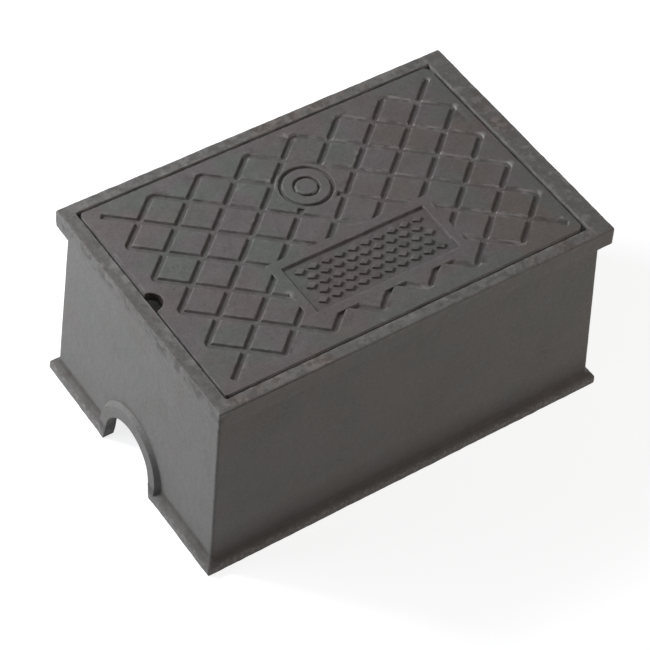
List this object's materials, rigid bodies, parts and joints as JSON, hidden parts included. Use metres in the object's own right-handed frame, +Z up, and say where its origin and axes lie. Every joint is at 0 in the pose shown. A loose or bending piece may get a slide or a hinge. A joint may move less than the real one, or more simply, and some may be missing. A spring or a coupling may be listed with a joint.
{
  "type": "hose bib box",
  "caption": "Open-bottomed cast-iron valve box with a flared base flange, a pipe arch in one end and a flush hinged lid covered in a diamond lattice of grooves.",
  "frame": {"origin": "middle of the base, on the plane the flange stands on", "axes": "+X along the length towards the hinge end, -X towards the pipe arch and the finger notch, +Y towards the side with the ring, +Z up"},
  "size_m": [0.3446, 0.2252, 0.17],
  "materials": {
    "box_iron": "dull black coating over a sand-cast skin, dusty on the faces that look up",
    "lid_iron": "dull black coating over a sand-cast skin, greyed by handling and dust",
    "pin_steel": "plain turned steel"
  },
  "bodies": {
    "box": {"box_body": "box_iron", "hinge_pin_front": "pin_steel", "hinge_pin_back": "pin_steel"},
    "lid": {"lid": "lid_iron"}
  },
  "joints": [
    {"name": "lid_hinge", "type": "hinge", "parent": "box", "child": "lid", "pos_m": [0.1314, 0, 0.162], "axis": [0, 1, 0], "range_deg": [0, 130]}
  ]
}
